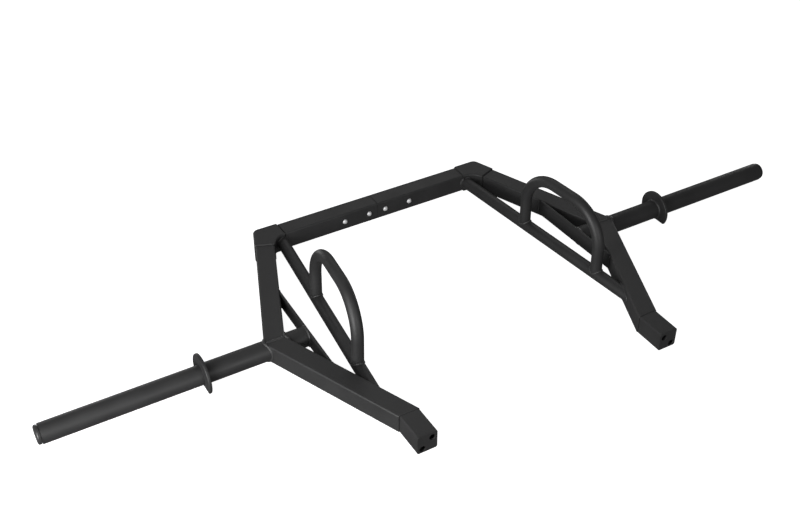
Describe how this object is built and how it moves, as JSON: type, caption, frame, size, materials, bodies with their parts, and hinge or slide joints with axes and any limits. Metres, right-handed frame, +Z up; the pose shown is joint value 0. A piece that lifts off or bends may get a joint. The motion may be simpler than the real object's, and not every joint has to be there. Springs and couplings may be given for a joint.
{
  "type": "open trap bar",
  "caption": "Open-front trap bar: bent square-tube frame, plate sleeves with collars, low straight handles and raised arched handles.",
  "frame": {"origin": "middle of the whole bar in X and Y, level with its lowest faces, the undersides of the two corner elbows", "axes": "+X along the plate sleeves, to the right of a lifter who stands in the bar facing the crossbar; +Y towards the crossbar; +Z up, the way the raised handles stand"},
  "size_m": [2.088, 0.869, 0.2175],
  "materials": {
    "powder_coat": "matt black powder coat with a fine texture",
    "plain_steel": "uncoated drawn steel, hidden inside the bar",
    "zinc_hardware": "bright zinc plate",
    "cap_plastic": "matt black moulded plastic"
  },
  "bodies": {
    "root": {"crossbar_left": "powder_coat", "crossbar_right": "powder_coat", "corner_elbow_left": "powder_coat", "corner_elbow_right": "powder_coat", "rear_side_tube_left": "powder_coat", "rear_side_tube_right": "powder_coat", "front_side_tube_left": "powder_coat", "front_side_tube_right": "powder_coat", "foot_tube_left": "powder_coat", "foot_tube_right": "powder_coat", "foot_plate_left": "powder_coat", "foot_plate_right": "powder_coat", "brace_plate_left": "powder_coat", "brace_plate_right": "powder_coat", "brace_stub_left": "powder_coat", "brace_stub_right": "powder_coat", "mount_pipe_left": "powder_coat", "mount_pipe_right": "powder_coat", "collar_left": "powder_coat", "collar_right": "powder_coat", "plate_sleeve_left": "powder_coat", "plate_sleeve_right": "powder_coat", "low_handle_left": "powder_coat", "low_handle_right": "powder_coat", "raised_handle_left": "powder_coat", "raised_handle_right": "powder_coat", "sleeve_spigot_left": "plain_steel", "sleeve_spigot_right": "plain_steel", "end_cap_left": "cap_plastic", "end_cap_right": "cap_plastic", "joining_insert": "plain_steel", "joining_bolts": "zinc_hardware", "joining_washers": "zinc_hardware", "joining_nuts": "zinc_hardware"}
  },
  "joints": []
}
